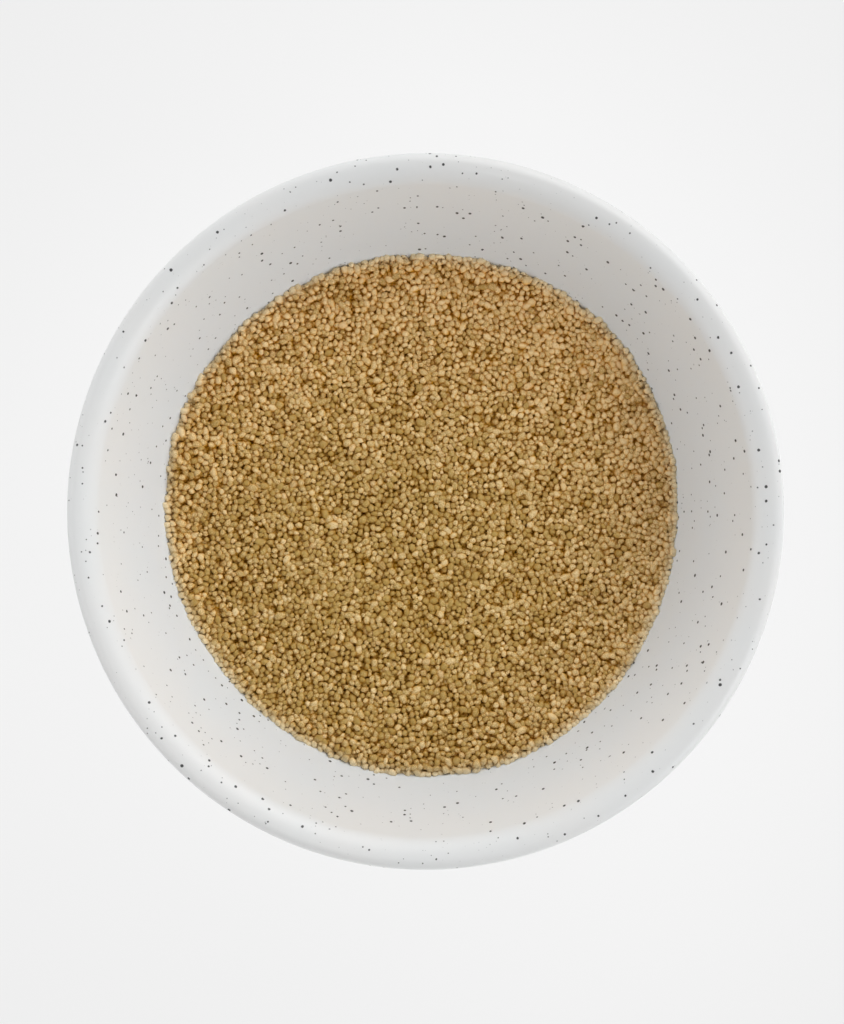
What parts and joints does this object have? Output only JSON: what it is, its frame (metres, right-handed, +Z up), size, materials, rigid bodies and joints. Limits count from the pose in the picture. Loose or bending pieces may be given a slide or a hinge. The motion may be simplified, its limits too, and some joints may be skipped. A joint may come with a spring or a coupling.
{
  "type": "dish of whole wheat couscous",
  "caption": "Round footed stoneware bowl with a broad rolled rim and flared walls, half filled with dry whole wheat couscous grains.",
  "frame": {"origin": "centre of the foot ring's flat underside, on the surface that the bowl stands on", "axes": "+Z up along the bowl's axis; +X and +Y in the table's plane, with the grains lying a little higher towards -X"},
  "size_m": [0.151, 0.151, 0.056],
  "materials": {
    "glaze": "gloss",
    "grains": "matte"
  },
  "bodies": {
    "root": {"bowl": "glaze", "couscous": "grains"}
  },
  "joints": []
}
